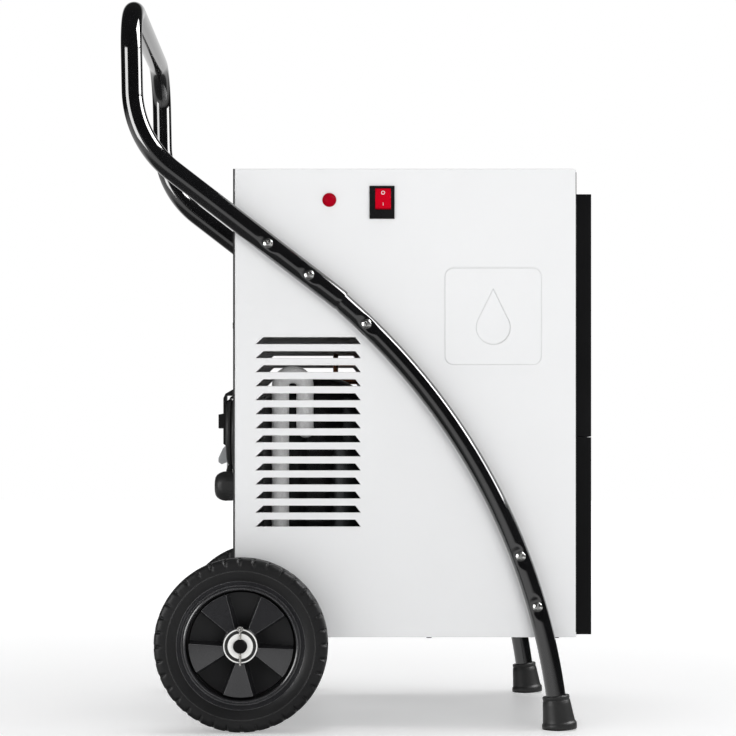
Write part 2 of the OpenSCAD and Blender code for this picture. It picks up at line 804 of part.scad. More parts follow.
module axle_brackets() {
    color([0.75, 0.76, 0.78]) for (s = [-1, 1]) difference() {
        union() {
            plate_y(s < 0 ? -184 : 179, 5) polygon([[-146, 91], [-142, 86], [-124, 86], [-118, 90],
                [-70, 113], [-70, 115], [-142, 115], [-142, 111], [-146, 110]]);
            box([-142, s < 0 ? -179 : 157, 111], [-70, s < 0 ? -157 : 179, 115]);
        }
        along_y(axle_x, s * 181.5 - 6, s * 181.5 + 6, wheel_r, axle_r + 0.03);
        for (x = bracket_bolt_x) along_z(x, s * bracket_bolt_y, 105, 125, 3.1);
    }
}

module axle_sleeves() {
    color([0.75, 0.76, 0.78]) for (s = [-1, 1]) difference() {
        along_y(axle_x, s < 0 ? -201.8 : 184.1, s < 0 ? -184.1 : 201.8, wheel_r, 11);
        along_y(axle_x, s * 193 - 15, s * 193 + 15, wheel_r, axle_r + 0.03);
    }
}

module tyre() {
    difference() {
        rotate_extrude() polygon([[74, -19], [80, -tyre_w / 2 + 0.5], [89, -tyre_w / 2],
            [94, -tyre_w / 2 + 0.5], [98, -19.5], [wheel_r, -16], [wheel_r, 16], [98, 19.5],
            [94, tyre_w / 2 - 0.5], [89, tyre_w / 2], [80, tyre_w / 2 - 0.5], [74, 19]]);
        for (i = [0 : 23]) for (s = [-1, 1]) rotate([0, 0, 15 * i + (s < 0 ? 7.5 : 0)])
            translate([wheel_r, 0, s * 16.5]) cube([8, 5, 17], center = true);
    }
}

module rim() {
    difference() {
        union() {
            translate([0, 0, -22]) cylinder(r = 20, h = 45.4);
            translate([0, 0, -4]) cylinder(r = 66, h = 9);
            difference() {
                translate([0, 0, -19]) cylinder(r = 74, h = 38);
                translate([0, 0, -30]) cylinder(r = 65, h = 60);
            }
            for (i = [0 : 4]) rotate([0, 0, 72 * i + 33]) rotate_extrude(angle = 36)
                translate([19, 4]) square([43.7, 10]);
        }
        translate([0, 0, -40]) cylinder(r = axle_r + 0.05, h = 80);
    }
}

module tyre_right() {
    color([0.05, 0.05, 0.05]) wheel_place(-1) tyre();
}

module tyre_left() {
    color([0.05, 0.05, 0.05]) wheel_place(1) tyre();
}

module rim_right() {
    color([0.2, 0.21, 0.22]) wheel_place(-1) rim();
}

module rim_left() {
    color([0.2, 0.21, 0.22]) wheel_place(1) rim();
}

module hub_washers() {
    color([0.85, 0.85, 0.83]) for (s = [-1, 1]) wheel_place(s) translate([0, 0, 23.6]) difference() {
        union() {
            cylinder(r = 19.5, h = 1.5);
            cylinder(r = 14.4, h = 2.6);
        }
        translate([0, 0, -1]) cylinder(r = axle_r + 0.05, h = 8);
    }
}

module cotter_pins() {
    color([0.75, 0.75, 0.73]) for (s = [-1, 1]) {
        along_z(axle_x, s * pin_y, wheel_r - 22, wheel_r + 18, 1.4);
        difference() {
            along_y(axle_x, s * pin_y - 1.3, s * pin_y + 1.3, wheel_r + 19.4, 3.4);
            along_y(axle_x, s * pin_y - 3, s * pin_y + 3, wheel_r + 19.4, 1.4);
        }
    }
}

// ---------------------------------------------------------------- cord storage
module slot_yz(r, y) {
    translate([-y, 0]) circle(r = r);
    translate([y, 0]) circle(r = r);
    square([2 * y, 2 * r], center = true);
}

// draws a child given in [y, z] and extrudes it from x0 towards +X by t
module plate_x(x0, t) {
    translate([x0, 0, 0]) rotate([90, 0, 90]) linear_extrude(t) children();
}

// each hook is a boss on the panel, an outer plate and an arm that slopes back over the cord
module cord_hooks() {
    color([0.06, 0.06, 0.07]) for (s = [-1, 1]) difference() {
        union() {
            plate_x(-159, 15) translate([s * hank_run / 2, hank_z]) difference() {
                circle(r = hank_in - 0.3);
                translate([s < 0 ? 0 : -40, -40]) square([40, 80]);
            }
            translate([0, 0, hank_z]) plate_y(s < 0 ? -hank_run / 2 - 14 : hank_run / 2 - 12, 26)
                polygon([[-158.8, -17], [-158.8, hank_out + 0.2], [-144, hank_out + 0.2], [-144, 55],
                    [-147, 55], [-160, 47.5], [-162.6, 42], [-162.6, 23], [-168.5, 22],
                    [-168.5, 5.2], [-162.6, 5.2], [-162.6, -14]]);
        }
        along_x(-175, -140, s * hook_screw_y, hank_z, 2.6);
        along_x(-175, -160, s * hook_screw_y, hank_z, 5.1);
    }
}

module cord_gland() {
    color([0.06, 0.06, 0.07]) difference() {
        union() {
            along_x(-146, xr - sheet, lead_y, 244, 9);
            along_x(lead_x, xr + 6, lead_y, 244, 5);
            translate([lead_x, lead_y, 240]) cylinder(r = 5.5, h = 22);
            translate([lead_x, lead_y, 262]) cylinder(r1 = 5.5, r2 = 4.4, h = 14);
        }
        translate([lead_x, lead_y, 266]) cylinder(r = cord_d / 2 + 0.03, h = 20);
    }
}

module drain_nipple() {
    color([0.06, 0.06, 0.07]) difference() {
        union() {
            along_x(-147, xr - sheet, drain_at[0], drain_at[1], 12);
            along_x(-164, -147, drain_at[0], drain_at[1], 6.5);
            along_x(-144, -134, drain_at[0], drain_at[1], 5);
        }
        along_x(-170, -130, drain_at[0], drain_at[1], 3.6);
    }
}

// route of the cord from the gland up to the wound hank
lead_route = [[lead_x, lead_y, 266], [lead_x, lead_y, 275], [lead_x, lead_y, 285],
    [lead_x, lead_y, 295], [lead_x, lead_y, hank_z - hank_out]];

function ring_points(p, r, n) =
    [for (i = [0 : n - 1]) p + [r * cos(360 * i / n), r * sin(360 * i / n), 0]];

module swept_cord(route, r, n) {
    rows = len(route);
    pts = [for (p = route) each ring_points(p, r, n)];
    sides = [for (k = [0 : rows - 2]) for (i = [0 : n - 1])
        [k * n + i, k * n + (i + 1) % n, (k + 1) * n + (i + 1) % n, (k + 1) * n + i]];
    low = [[for (i = [n - 1 : -1 : 0]) i]];
    top = [[for (i = [0 : n - 1]) (rows - 1) * n + i]];
    faces = [for (f = concat(sides, low, top)) [for (k = [len(f) - 1 : -1 : 0]) f[k]]];
    polyhedron(points = pts, faces = faces);
}

module cord_lead() {
    color([0.05, 0.05, 0.05]) swept_cord(lead_route, cord_d / 2, 12);
}

module cord_hank() {
    color([0.05, 0.05, 0.05]) plate_x(-158.6, 14) translate([0, hank_z]) difference() {
        slot_yz(hank_out, hank_run / 2);
        slot_yz(hank_in, hank_run / 2);
    }
}

module cord_strap() {
    color([0.6, 0.61, 0.62]) difference() {
        union() {
            box([-161, -18, hank_z - hank_out - 2.4], [-145, 0, hank_z - hank_in + 2.4]);
            translate([0, 0, hank_z]) plate_y(-18, 18) polygon([[-161, -14], [-166, -19],
                [-171.5, -31], [-171.5, -36], [-168, -38.6], [-161, -36]]);
        }
        box([-158.6, -30, hank_z - hank_out], [-140, 10, hank_z - hank_in]);
    }
}

// profile of the plug's body: straight side and a rounded back
module plug_profile() {
    square([18.5, 20]);
    square([8, 30.5]);
    intersection() {
        translate([8, 20]) circle(r = 10.5);
        square([40, 40]);
    }
}

// angled plug, parked with its pins in the rear panel
module cord_plug() {
    low = hank_z - hank_out;
    color([0.06, 0.06, 0.06]) {
        translate([-144, plug_at[0], plug_at[1]]) rotate([0, -90, 0]) rotate_extrude() plug_profile();
        translate([-157.2, plug_at[0], plug_at[1] + 7]) cylinder(r1 = 13, r2 = 7, h = low - plug_at[1] - 7);
    }
    color([0.8, 0.8, 0.78]) for (s = [-1, 1])
        along_x(-145, -126, plug_at[0] + s * plug_pin, plug_at[1], 2.4);
}

side_panel_right();
side_panel_left();
top_cover();
rear_panel();
base_tray();
partition();
front_frame();
base_bumpers();
housing_screws();
front_grille();
filter_frame();
filter_mesh();
drip_tray();
evaporator_fins();
evaporator_tubes();
condenser_fins();
condenser_tubes();
fan_shroud();
fan_blade();
fan_motor();
motor_bracket();
compressor_shell();
compressor_grommets();
base_bolts();
terminal_cover();
accumulator();
filter_drier();
refrigerant_pipes();
capillary_tube();
run_capacitor();
control_box();
switch_bezel();
switch_rocker();
indicator_lamp();
water_tank();
tank_front();
tank_lid();
float_body();
level_switch();
handle_tube();
leg_tube_right();
leg_tube_left();
feet();
tube_screws();
axle();
axle_brackets();
axle_sleeves();
tyre_right();
tyre_left();
rim_right();
rim_left();
hub_washers();
cotter_pins();
drain_nipple();
cord_hooks();
cord_gland();
cord_lead();
cord_hank();
cord_strap();
cord_plug();
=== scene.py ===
import json
import math
import bmesh
import bpy
from mathutils import Matrix, Vector


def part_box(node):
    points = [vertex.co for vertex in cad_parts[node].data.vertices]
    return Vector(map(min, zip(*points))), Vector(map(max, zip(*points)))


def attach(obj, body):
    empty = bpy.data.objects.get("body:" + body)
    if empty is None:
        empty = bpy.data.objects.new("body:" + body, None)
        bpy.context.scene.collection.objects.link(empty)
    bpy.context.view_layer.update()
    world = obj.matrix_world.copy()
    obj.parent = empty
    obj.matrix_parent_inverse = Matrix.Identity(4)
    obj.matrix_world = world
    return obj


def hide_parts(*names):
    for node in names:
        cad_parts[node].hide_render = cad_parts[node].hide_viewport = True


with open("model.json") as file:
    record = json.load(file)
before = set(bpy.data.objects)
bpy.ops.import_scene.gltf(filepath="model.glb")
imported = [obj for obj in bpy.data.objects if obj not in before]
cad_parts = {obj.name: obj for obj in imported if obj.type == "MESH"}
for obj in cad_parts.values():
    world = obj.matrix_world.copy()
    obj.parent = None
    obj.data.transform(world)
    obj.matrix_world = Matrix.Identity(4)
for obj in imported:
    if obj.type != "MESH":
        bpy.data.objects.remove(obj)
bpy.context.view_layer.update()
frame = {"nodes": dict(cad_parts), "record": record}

nodes = frame["nodes"]
bpy.context.scene.view_settings.view_transform = "Standard"

# ------------------------------------------------------------------ camera
# level, square to the side, with the frame shifted up and to the machine's front
camera_data = bpy.data.cameras.new("camera")
camera_data.sensor_width = 36.0
camera_data.lens = 99.6
camera_data.shift_x = 0.0387
camera_data.shift_y = 0.144
camera_data.clip_end = 50.0
camera = bpy.data.objects.new("camera", camera_data)
bpy.context.scene.collection.objects.link(camera)
camera.location = (-0.0201, -2.5655, 0.296)
camera.rotation_euler = (math.radians(90), 0, 0)
bpy.context.scene.camera = camera


# ------------------------------------------------------------------ materials
def material(name, color, rough=0.4, metal=0.0, coat=0.0, grain=900.0, bump=0.05,
             vary=0.08, rough_vary=0.08, edge=0.0, edge_color=(0.9, 0.9, 0.9), round_edge=0.0,
             streak=None, sheen=0.0, glow=0.0, specular=0.5, brush=None, subsurface=0.0):
    """A finish: colour with fine and broad variation, bump at the real grain's size, edges tinted towards
    edge_color: wear on most finishes, painted shade along the white panels' edges and a painted highlight
    along the rims' edges.
    """
    m = bpy.data.materials.new(name)
    m.use_nodes = True
    t = m.node_tree
    n = t.nodes
    link = t.links.new
    shader = n["Principled BSDF"]
    coords = n.new("ShaderNodeTexCoord")
    place = n.new("ShaderNodeMapping")
    link(coords.outputs["Object"], place.inputs["Vector"])
    if brush:
        place.inputs["Scale"].default_value = brush
    fine = n.new("ShaderNodeTexNoise")
    fine.inputs["Scale"].default_value = grain
    fine.inputs["Detail"].default_value = 4
    link(place.outputs["Vector"], fine.inputs["Vector"])
    broad = n.new("ShaderNodeTexNoise")
    broad.inputs["Scale"].default_value = 9.0
    broad.inputs["Detail"].default_value = 6
    link(coords.outputs["Object"], broad.inputs["Vector"])
    ramp = n.new("ShaderNodeValToRGB")
    ramp.color_ramp.elements[0].position = 0.35
    ramp.color_ramp.elements[1].position = 0.68
    dark = [c * (1 - vary) for c in color]
    light = [min(1.0, c * (1 + vary) + vary * 0.01) for c in color]
    ramp.color_ramp.elements[0].color = (*dark, 1)
    ramp.color_ramp.elements[1].color = (*light, 1)
    blend = n.new("ShaderNodeMix")
    blend.data_type = "FLOAT"
    blend.inputs["Factor"].default_value = 0.45
    link(broad.outputs["Fac"], blend.inputs[2])
    link(fine.outputs["Fac"], blend.inputs[3])
    link(blend.outputs[0], ramp.inputs["Fac"])
    colour = ramp.outputs["Color"]
    if streak:
        wave = n.new("ShaderNodeTexNoise")
        wave.inputs["Scale"].default_value = 1.0
        wave.inputs["Detail"].default_value = 5
        stretch = n.new("ShaderNodeMapping")
        stretch.inputs["Scale"].default_value = streak
        link(coords.outputs["Object"], stretch.inputs["Vector"])
        link(stretch.outputs["Vector"], wave.inputs["Vector"])
        lay = n.new("ShaderNodeMix")
        lay.data_type = "RGBA"
        lay.blend_type = "MULTIPLY"
        lay.inputs["Factor"].default_value = 0.35
        link(colour, lay.inputs[6])
        link(wave.outputs["Fac"], lay.inputs[7])
        colour = lay.outputs[2]
    bevel = None
    if round_edge or edge:
        bevel = n.new("ShaderNodeBevel")
        bevel.samples = 4
        bevel.inputs["Radius"].default_value = round_edge or 0.0006
    # edge tint: wear on most finishes, painted shade on the white panels' edges, painted highlight on the
    # rims' edges
    if edge:
        geometry = n.new("ShaderNodeNewGeometry")
        dot = n.new("ShaderNodeVectorMath")
        dot.operation = "DOT_PRODUCT"
        link(bevel.outputs["Normal"], dot.inputs[0])
        link(geometry.outputs["Normal"], dot.inputs[1])
        edge_wear_and_painted_light_mask = n.new("ShaderNodeMapRange")
        edge_wear_and_painted_light_mask.inputs["From Min"].default_value = 0.97
        edge_wear_and_painted_light_mask.inputs["From Max"].default_value = 0.80
        edge_wear_and_painted_light_mask.inputs["To Max"].default_value = edge
        link(dot.outputs["Value"], edge_wear_and_painted_light_mask.inputs["Value"])
        break_up = n.new("ShaderNodeMath")
        break_up.operation = "MULTIPLY"
        link(edge_wear_and_painted_light_mask.outputs["Result"], break_up.inputs[0])
        link(broad.outputs["Fac"], break_up.inputs[1])
        edge_wear_and_painted_light = n.new("ShaderNodeMix")
        edge_wear_and_painted_light.data_type = "RGBA"
        link(break_up.outputs["Value"], edge_wear_and_painted_light.inputs["Factor"])
        link(colour, edge_wear_and_painted_light.inputs[6])
        edge_wear_and_painted_light.inputs[7].default_value = (*edge_color, 1)
        colour = edge_wear_and_painted_light.outputs[2]
    link(colour, shader.inputs["Base Color"])
    rough_map = n.new("ShaderNodeMapRange")
    rough_map.inputs["To Min"].default_value = max(0.02, rough - rough_vary)
    rough_map.inputs["To Max"].default_value = min(1.0, rough + rough_vary)
    link(broad.outputs["Fac"], rough_map.inputs["Value"])
    link(rough_map.outputs["Result"], shader.inputs["Roughness"])
    height = n.new("ShaderNodeBump")
    height.inputs["Strength"].default_value = bump
    height.inputs["Distance"].default_value = 0.0004
    link(fine.outputs["Fac"], height.inputs["Height"])
    if bevel:
        link(bevel.outputs["Normal"], height.inputs["Normal"])
    link(height.outputs["Normal"], shader.inputs["Normal"])
    shader.inputs["Metallic"].default_value = metal
    shader.inputs["Coat Weight"].default_value = coat
    shader.inputs["Coat Roughness"].default_value = 0.08
    shader.inputs["Specular IOR Level"].default_value = specular
    shader.inputs["Sheen Weight"].default_value = sheen
    shader.inputs["Subsurface Weight"].default_value = subsurface
    shader.inputs["Subsurface Radius"].default_value = (0.004, 0.004, 0.004)
    if glow:
        shader.inputs["Emission Color"].default_value = (*color, 1)
        shader.inputs["Emission Strength"].default_value = glow
    m.diffuse_color = (*color, 1)
    return m


M = {
    # white panels: edges tinted darker grey, a painted shade line along their outline
    "white_paint": material("white_powder_coat", (0.775, 0.78, 0.785), rough=0.42, coat=0.15, grain=1400,
                            bump=0.12, vary=0.012, rough_vary=0.05, edge=0.3,
                            edge_color=(0.45, 0.46, 0.47), round_edge=0.0015),
    "black_tube": material("black_gloss_tube", (0.003, 0.003, 0.0035), rough=0.07, coat=0.9, grain=45,
                           bump=0.004, vary=0.25, rough_vary=0.03, specular=0.7),
    "tube_screw": material("bright_screw", (0.70, 0.70, 0.69), rough=0.26, metal=1.0, grain=900,
                           bump=0.04, vary=0.1, rough_vary=0.05, edge=0.5, round_edge=0.0004),
    "zinc_sheet": material("galvanised_sheet", (0.56, 0.58, 0.60), rough=0.38, metal=0.9, grain=260,
                           bump=0.05, vary=0.14, rough_vary=0.12, edge=0.5, round_edge=0.0006,
                           streak=(14, 14, 4)),
    "zinc_fixings": material("zinc_plated_fixing", (0.66, 0.65, 0.62), rough=0.24, metal=1.0, grain=900,
                             bump=0.06, vary=0.12, rough_vary=0.1, edge=0.6, round_edge=0.0004),
    "black_panel": material("black_grained_panel", (0.0045, 0.0045, 0.005), rough=0.42, grain=1800,
                            bump=0.18, vary=0.18, edge=0.2, edge_color=(0.05, 0.05, 0.05),
                            round_edge=0.0012, specular=0.12),
    "black_plastic": material("black_smooth_plastic", (0.007, 0.007, 0.0075), rough=0.28, grain=1500,
                              bump=0.05, vary=0.18, edge=0.3, edge_color=(0.07, 0.07, 0.07),
                              round_edge=0.0007, specular=0.3),
    "filter_grey": material("filter_frame_plastic", (0.10, 0.105, 0.11), rough=0.5, grain=1500,
                            bump=0.1, vary=0.1, edge=0.2, round_edge=0.0006),
    "tray_plastic": material("drip_tray_plastic", (0.07, 0.07, 0.075), rough=0.45, grain=1200,
                             bump=0.1, vary=0.12, edge=0.2, round_edge=0.0008),
    "fin_aluminium": material("stamped_fin_aluminium", (0.72, 0.74, 0.76), rough=0.3, metal=1.0,
                              grain=700, bump=0.2, vary=0.1, brush=(1, 1, 0.1), edge=0.3,
                              round_edge=0.0002),
    "copper": material("drawn_copper", (0.62, 0.26, 0.13), rough=0.26, metal=1.0, grain=300, bump=0.05,
                       vary=0.25, rough_vary=0.15, edge=0.2, edge_color=(0.8, 0.45, 0.3),
                       round_edge=0.0004),
    "fan_plastic": material("fan_moulding", (0.02, 0.02, 0.022), rough=0.38, grain=1200, bump=0.08,
                            vary=0.15, edge=0.2, edge_color=(0.1, 0.1, 0.1), round_edge=0.0008),
    "motor_grey": material("painted_motor_can", (0.14, 0.145, 0.15), rough=0.4, coat=0.2, grain=800,
                           bump=0.08, vary=0.12, edge=0.4, round_edge=0.001),
    "compressor_black": material("compressor_enamel", (0.008, 0.008, 0.009), rough=0.2, coat=0.6,
                                 grain=500, bump=0.08, vary=0.2, rough_vary=0.08, edge=0.3,
                                 edge_color=(0.1, 0.1, 0.1), round_edge=0.0015),
    "rubber_black": material("moulded_rubber", (0.019, 0.019, 0.019), rough=0.45, grain=1000, bump=0.2,
                             vary=0.25, rough_vary=0.12, edge=0.25, edge_color=(0.06, 0.06, 0.06),
                             round_edge=0.0008, specular=0.4),
    "tyre_rubber": material("tyre_rubber", (0.009, 0.009, 0.0095), rough=0.45, grain=800, bump=0.2,
                            vary=0.3, rough_vary=0.12, edge=0.9, edge_color=(0.17, 0.17, 0.17),
                            round_edge=0.0010, specular=0.32),
    # rim: edges tinted light grey, painted highlights along the sectors' and the ring's edges
    "rim_plastic": material("rim_nylon", (0.022, 0.022, 0.024), rough=0.20, grain=1500, bump=0.08,
                            vary=0.14, rough_vary=0.06, edge=1.0, edge_color=(0.50, 0.50, 0.51),
                            round_edge=0.0008, specular=0.85),
    # darker copy of the rim's nylon for the recessed sectors' floors: painted shade in the pockets
    "rim_painted_recess_shade": material("rim_nylon_painted_recess_shade", (0.010, 0.010, 0.011), rough=0.40, grain=1500, bump=0.08,
                           vary=0.14, rough_vary=0.06, specular=0.35),
    "tank_plastic": material("translucent_tank", (0.72, 0.75, 0.76), rough=0.35, grain=900, bump=0.06,
                             vary=0.04, edge=0.1, round_edge=0.001, subsurface=0.3),
    "float_orange": material("float_foam", (0.75, 0.22, 0.03), rough=0.6, grain=700, bump=0.3,
                             vary=0.12, edge=0.1, round_edge=0.001),
    "capacitor_can": material("capacitor_can", (0.7, 0.71, 0.72), rough=0.25, metal=1.0, grain=500,
                              bump=0.05, vary=0.08, brush=(1, 1, 12), edge=0.3, round_edge=0.0008),
    "box_grey": material("control_box_plastic", (0.05, 0.052, 0.055), rough=0.45, grain=1400,
                         bump=0.12, vary=0.12, edge=0.2, round_edge=0.0008),
    "rocker_red": material("red_rocker", (0.50, 0.001, 0.012), rough=0.16, grain=600,
                           bump=0.02, vary=0.1, edge=0.25, edge_color=(0.8, 0.02, 0.05),
                           round_edge=0.0008, glow=0.08, specular=0.2),
    "lamp_red": material("red_lamp_lens", (0.34, 0.0002, 0.010), rough=0.3, grain=500,
                         bump=0.03, vary=0.12, edge=0.1, edge_color=(0.4, 0.01, 0.03),
                         round_edge=0.0008, glow=0.04, specular=0.02),
    "foam_grey": material("pipe_foam", (0.80, 0.80, 0.80), rough=0.8, grain=700, bump=0.5, vary=0.15),
    "cord_rubber": material("cord_sheath", (0.012, 0.012, 0.012), rough=0.5, grain=900, bump=0.15,
                            vary=0.25, rough_vary=0.1),
    "strap_grey": material("grey_strap", (0.40, 0.41, 0.42), rough=0.5, grain=1300, bump=0.3,
                           vary=0.12, sheen=0.2, edge=0.2, round_edge=0.0006),
    "washer_white": material("white_washer", (0.90, 0.90, 0.88), rough=0.32, grain=900, bump=0.05,
                             vary=0.05, edge=0.3, edge_color=(0.5, 0.5, 0.48), round_edge=0.0004),
    "mark_white": material("printed_white", (0.85, 0.85, 0.85), rough=0.4, grain=900, bump=0.03,
                           vary=0.04),
    "window": material("level_window", (0.30, 0.36, 0.38), rough=0.08, grain=400, bump=0.02, vary=0.05,
                       coat=0.5),
}


def filter_fabric():
    """Woven filter net: two crossed sets of threads, darker between the threads."""
    m = material("filter_net", (0.05, 0.05, 0.052), rough=0.7, grain=600, bump=0.1, vary=0.2)
    t = m.node_tree
    n = t.nodes
    shader = n["Principled BSDF"]
    coords = n.new("ShaderNodeTexCoord")
    waves = []
    for direction in ("Y", "Z"):
        w = n.new("ShaderNodeTexWave")
        w.bands_direction = direction
        w.inputs["Scale"].default_value = 160
        t.links.new(coords.outputs["Object"], w.inputs["Vector"])
        waves.append(w)
    top = n.new("ShaderNodeMath")
    top.operation = "MAXIMUM"
    t.links.new(waves[0].outputs["Fac"], top.inputs[0])
    t.links.new(waves[1].outputs["Fac"], top.inputs[1])
    bump = n.new("ShaderNodeBump")
    bump.inputs["Strength"].default_value = 0.7
    bump.inputs["Distance"].default_value = 0.0005
    t.links.new(top.outputs["Value"], bump.inputs["Height"])
    t.links.new(bump.outputs["Normal"], shader.inputs["Normal"])
    ramp = n.new("ShaderNodeValToRGB")
    ramp.color_ramp.elements[0].color = (0.012, 0.012, 0.012, 1)
    ramp.color_ramp.elements[1].color = (0.10, 0.10, 0.105, 1)
    t.links.new(top.outputs["Value"], ramp.inputs["Fac"])
    t.links.new(ramp.outputs["Color"], shader.inputs["Base Color"])
    return m


M["filter_fabric"] = filter_fabric()

slots = {s["node"]: s["material_slot"] for s in frame["record"]["subparts"]}


def smooth(obj, angle=35.0):
    """Smooth shading with sharp edges kept where faces meet at more than the angle."""
    mesh = obj.data
    mesh.polygons.foreach_set("use_smooth", [True] * len(mesh.polygons))
    mesh.set_sharp_from_angle(angle=math.radians(angle))


for name, obj in nodes.items():
    obj.data.materials.clear()
    obj.data.materials.append(M[slots[name]])
nodes["tube_screws"].data.materials[0] = M["tube_screw"]
nodes["axle"].data.materials[0] = M["black_panel"]


# ------------------------------------------------------------------ mesh makers
def add_mesh(name, verts, faces, mat, angle=35.0):
    """A closed mesh with its doubled points merged and its faces turned outwards."""
    mesh = bpy.data.meshes.new(name)
    mesh.from_pydata([tuple(v) for v in verts], [], faces)
    mesh.update()
    obj = bpy.data.objects.new(name, mesh)
    bpy.context.scene.collection.objects.link(obj)
    mesh.materials.append(mat)
    bm = bmesh.new()
    bm.from_mesh(mesh)
    bmesh.ops.remove_doubles(bm, verts=bm.verts, dist=1e-6)
    bmesh.ops.recalc_face_normals(bm, faces=bm.faces)
    bm.to_mesh(mesh)
    bm.free()
    smooth(obj, angle)
    return obj


def lathe(name, profile, place, mat, segments=96, shape=None, angle=35.0):
    """Turns (radius, height) points about the local Z axis; shape(i, k, r, h) may move a point."""
    verts = []
    faces = []
    rows = len(profile)
    for i in range(segments):
        a = 2 * math.pi * i / segments
        for k, (r, h) in enumerate(profile):
            if shape:
                r, h = shape(i, k, r, h)
            verts.append(place @ Vector((r * math.cos(a), r * math.sin(a), h)))
    for i in range(segments):
        j = (i + 1) % segments
        for k in range(rows - 1):
            faces.append((i * rows + k, j * rows + k, j * rows + k + 1, i * rows + k + 1))
    return add_mesh(name, verts, faces, mat, angle)


def block(name, low, high, mat, bevel, segments):
    """A box between two corners, with rounded edges."""
    low = Vector(low)
    high = Vector(high)
    bm = bmesh.new()
    bmesh.ops.create_cube(bm, size=1.0)
    for v in bm.verts:
        v.co = (low + high) / 2 + Vector(v.co[i] * (high - low)[i] for i in range(3))
    bmesh.ops.bevel(bm, geom=list(bm.edges), offset=bevel, segments=segments, profile=0.5,
                    affect="EDGES")
    mesh = bpy.data.meshes.new(name)
    bm.to_mesh(mesh)
    bm.free()
    mesh.materials.append(mat)
    obj = bpy.data.objects.new(name, mesh)
    bpy.context.scene.collection.objects.link(obj)
    smooth(obj, 40)
    return obj


def joined(name, objs):
    """Joins pieces made here into one mesh."""
    for o in bpy.context.selected_objects:
        o.select_set(False)
    for o in objs:
        o.select_set(True)
    bpy.context.view_layer.objects.active = objs[0]
    bpy.ops.object.join()
    objs[0].name = name
    return objs[0]


def tube(name, points, radius, mat):
    """A round cord of even thickness along the points."""
    curve = bpy.data.curves.new(name, "CURVE")
    curve.dimensions = "3D"
    curve.bevel_depth = radius
    curve.bevel_resolution = 6
    curve.use_fill_caps = True
    spline = curve.splines.new("POLY")
    spline.points.add(len(points) - 1)
    for p, q in zip(spline.points, points):
        p.co = (*q, 1)
    obj = bpy.data.objects.new(name, curve)
    bpy.context.scene.collection.objects.link(obj)
    curve.materials.append(mat)
    return obj


# ------------------------------------------------------------------ frame tubes: sizes and sweeps
# the side plane of handle and legs, and the radii of handle, leg and the leg's spigot
TUBE_Y = 0.2035
HANDLE_R = 0.0125
LEG_R = 0.0115
SPIGOT_R = 0.0110
# the leg's long curve: its centre, radius, start and sweep
ARC_X = -0.4983
ARC_Z = -0.0620
ARC_R = 0.736
ARC_START = math.radians(5.78)
ARC_SWEEP = math.radians(43.4)
# corners of the handle in its side plane, and its two bend radii
JOINT = (-0.0175, 0.4966)
LOWER_BEND = (-0.2593, 0.6828)
UPPER_BEND = (-0.2625, 0.8425)
LOWER_BEND_R = 0.122
UPPER_BEND_R = 0.055
HANDLE_SCREWS = ((-0.1027, 0.5622), (-0.0553, 0.5257))
LEG_SCREWS = [(ARC_X + ARC_R * math.cos(math.radians(a)), ARC_Z + ARC_R * math.sin(math.radians(a)))
              for a in (46.2, 20.9, 16.1)]


def side_point(p, s):
    return Vector((p[0], s * TUBE_Y, p[1]))


def rounded_path(corners, bends, step=0.0025):
    """Points along straight runs and arcs, a step apart or less."""
    rough = [corners[0]]
    for a, b, c, bend in zip(corners, corners[1:], corners[2:], bends):
        u = (b - a).normalized()
        v = (c - b).normalized()
        angle = u.angle(v)
        across = (v - u * u.dot(v)).normalized()
        centre = b - u * bend * math.tan(angle / 2) + across * bend
        count = math.ceil(angle * bend / step)
        for k in range(count + 1):
            t = angle * k / count
            rough.append(centre - across * bend * math.cos(t) + u * bend * math.sin(t))
    rough.append(corners[-1])
    path = [rough[0]]
    for a, b in zip(rough, rough[1:]):
        count = max(1, math.ceil((b - a).length / step))
        for k in range(1, count + 1):
            path.append(a.lerp(b, k / count))
    return path


def soft_min(a, b, width):
    h = max(width - abs(a - b), 0.0) / width
    return min(a, b) - h * h * width / 4


def dented(v, seats, radius):
    """Moves a point of a tube in where a screw's seat has been pressed flat."""
    side = math.copysign(1, v.y)
    out = v.y * side - TUBE_Y
    if out <= 0:
        return v
    for x, z, seat, reach in seats:
        away = math.hypot(v.x - x, v.z - z)
        if away < reach + radius:
            t = min(1.0, max(0.0, (away - 0.0062) / (reach - 0.0062)))
            ease = t * t * (3 - 2 * t)
            limit = seat + (radius + 0.003 - seat) * ease
            out = soft_min(out, limit, 0.0022)
    return Vector((v.x, side * (TUBE_Y + out), v.z))


def swept(name, path, rings, mat, radius, seats=(), segments=48):
    """Skins rings (index along the path, radius) in order; the first and the last are closed."""
    frames = []
    across = Vector((0, 1, 0))
    for i, p in enumerate(path):
        along = (path[min(len(path) - 1, i + 1)] - path[max(0, i - 1)]).normalized()
        across = (across - along * across.dot(along)).normalized()
        frames.append((p, across.copy(), along.cross(across)))
    verts = []
    for i, r in rings:
        p, u, v = frames[i]
        for k in range(segments):
            a = 2 * math.pi * k / segments
            verts.append(dented(p + (u * math.cos(a) + v * math.sin(a)) * r, seats, radius))
    faces = []
    for i in range(len(rings) - 1):
        for k in range(segments):
            j = (k + 1) % segments
            faces.append((i * segments + k, i * segments + j, (i + 1) * segments + j,
                          (i + 1) * segments + k))
    faces.append(tuple(reversed(range(segments))))
    faces.append(tuple(range((len(rings) - 1) * segments, len(rings) * segments)))
    return add_mesh(name, verts, faces, mat, 45)


# ------------------------------------------------------------------ mains cord
EXIT = Vector((-0.1505, 0.040, 0.276))
CORD_R = 0.0035
CORD_D = 2 * CORD_R
# the winding: its height, half a straight run, the x of its first layer and the laps in a layer
HANK_Z = 0.347
HALF = 0.055
LAYER_X = -0.1481
LAYER = 3.0
